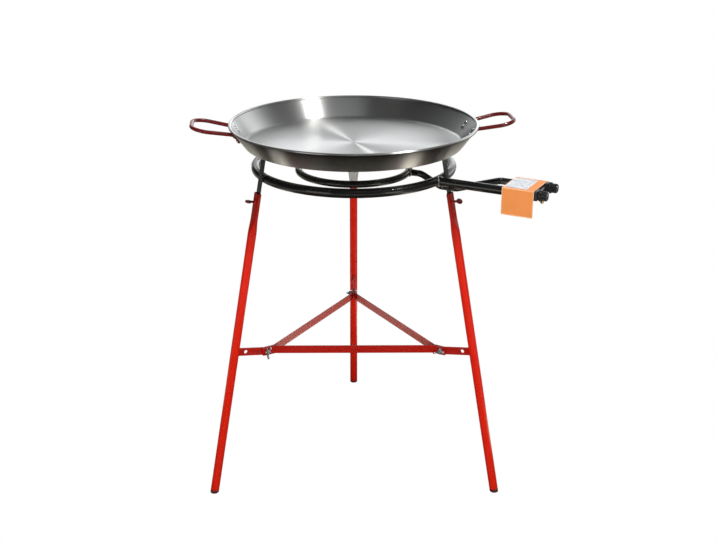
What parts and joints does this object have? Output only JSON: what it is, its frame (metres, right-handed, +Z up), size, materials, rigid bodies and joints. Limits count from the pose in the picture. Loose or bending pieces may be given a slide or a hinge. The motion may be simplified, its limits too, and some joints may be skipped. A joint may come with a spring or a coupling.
{
  "type": "paella burner",
  "caption": "Gas burner with concentric flame rings on a braced steel tripod, carrying a wide shallow pan with loop handles, with taps at the ends of its feed pipes.",
  "frame": {"origin": "the middle of the overall box, on the floor", "axes": "+Z up, +X to the side where the taps are, -Y to the front, where the front bar of the brace is"},
  "size_m": [0.8564, 0.7174, 0.9091],
  "materials": {
    "pan_steel": "polished carbon steel with a fine brushed grain",
    "handle_red": "dark red enamel",
    "rivet_steel": "bright steel",
    "burner_black": "glossy black enamel",
    "tap_black": "black coated die casting",
    "knob_black": "black phenolic plastic",
    "brass": "turned brass",
    "card_orange": "printed card",
    "label_white": "bare white paper",
    "leg_red": "glossy red enamel",
    "foot_dark": "dark moulded plastic",
    "screw_red": "dark red paint",
    "zinc": "zinc plate"
  },
  "bodies": {
    "stand": {"outer_ring": "burner_black", "inner_ring": "burner_black", "outer_feed_pipe": "burner_black", "inner_feed_pipe": "burner_black", "pan_support_left": "burner_black", "pan_support_right": "burner_black", "pan_support_rear": "burner_black", "gas_rail": "burner_black", "tap_body_outer": "tap_black", "tap_body_inner": "tap_black", "tap_gland_outer": "tap_black", "tap_gland_inner": "tap_black", "injector_outer": "brass", "injector_inner": "brass", "hose_tail": "brass", "card_sleeve": "card_orange", "card_label": "label_white", "leg_left": "leg_red", "leg_right": "leg_red", "leg_rear": "leg_red", "leg_ear_left": "leg_red", "leg_ear_right": "leg_red", "leg_ear_rear": "leg_red", "brace_bar_front": "leg_red", "brace_bar_left": "leg_red", "brace_bar_right": "leg_red", "foot_plug_left": "foot_dark", "foot_plug_right": "foot_dark", "foot_plug_rear": "foot_dark", "leg_thread_inserts": "zinc", "brace_bolt_left": "zinc", "brace_bolt_right": "zinc", "brace_bolt_rear": "zinc"},
    "pan": {"pan_shell": "pan_steel", "pan_handle_left": "handle_red", "pan_handle_right": "handle_red", "pan_rivets_left": "rivet_steel", "pan_rivets_right": "rivet_steel"},
    "tap_outer": {"tap_spindle_outer": "brass", "tap_knob_outer": "knob_black"},
    "tap_inner": {"tap_spindle_inner": "brass", "tap_knob_inner": "knob_black"},
    "thumb_screw_left": {"thumb_screw_left": "screw_red"},
    "wing_nut_left": {"wing_nut_left": "zinc"},
    "thumb_screw_right": {"thumb_screw_right": "screw_red"},
    "wing_nut_right": {"wing_nut_right": "zinc"},
    "thumb_screw_rear": {"thumb_screw_rear": "screw_red"},
    "wing_nut_rear": {"wing_nut_rear": "zinc"}
  },
  "joints": [
    {"name": "pan_lift", "type": "slide", "parent": "stand", "child": "pan", "axis": [0, 0, 1], "range_m": [0, 0.25]},
    {"name": "tap_outer_turn", "type": "hinge", "parent": "stand", "child": "tap_outer", "pos_m": [0.37143, -0.31593, 0.795], "axis": [0.8829, -0.4695, 0], "range_deg": [0, 180]},
    {"name": "tap_inner_turn", "type": "hinge", "parent": "stand", "child": "tap_inner", "pos_m": [0.40429, -0.25413, 0.795], "axis": [0.8829, -0.4695, 0], "range_deg": [0, 180]},
    {"name": "thumb_screw_left_turn", "type": "hinge", "parent": "stand", "child": "thumb_screw_left", "pos_m": [-0.26516, -0.19006, 0.74172], "axis": [-0.8501, -0.4908, 0.1908], "continuous": true},
    {"name": "thumb_screw_right_turn", "type": "hinge", "parent": "stand", "child": "thumb_screw_right", "pos_m": [0.18971, -0.19006, 0.74172], "axis": [0.8501, -0.4908, 0.1908], "continuous": true},
    {"name": "thumb_screw_rear_turn", "type": "hinge", "parent": "stand", "child": "thumb_screw_rear", "pos_m": [-0.03772, 0.20387, 0.74172], "axis": [0, 0.9816, 0.1908], "continuous": true},
    {"name": "wing_nut_left_turn", "type": "hinge", "parent": "stand", "child": "wing_nut_left", "pos_m": [-0.25444, -0.18387, 0.35465], "axis": [0.5, -0.866, 0], "continuous": true},
    {"name": "wing_nut_right_turn", "type": "hinge", "parent": "stand", "child": "wing_nut_right", "pos_m": [0.179, -0.18387, 0.35465], "axis": [-0.5, -0.866, 0], "continuous": true},
    {"name": "wing_nut_rear_turn", "type": "hinge", "parent": "stand", "child": "wing_nut_rear", "pos_m": [-0.03772, 0.1915, 0.35465], "axis": [-1, 0, 0], "continuous": true}
  ]
}
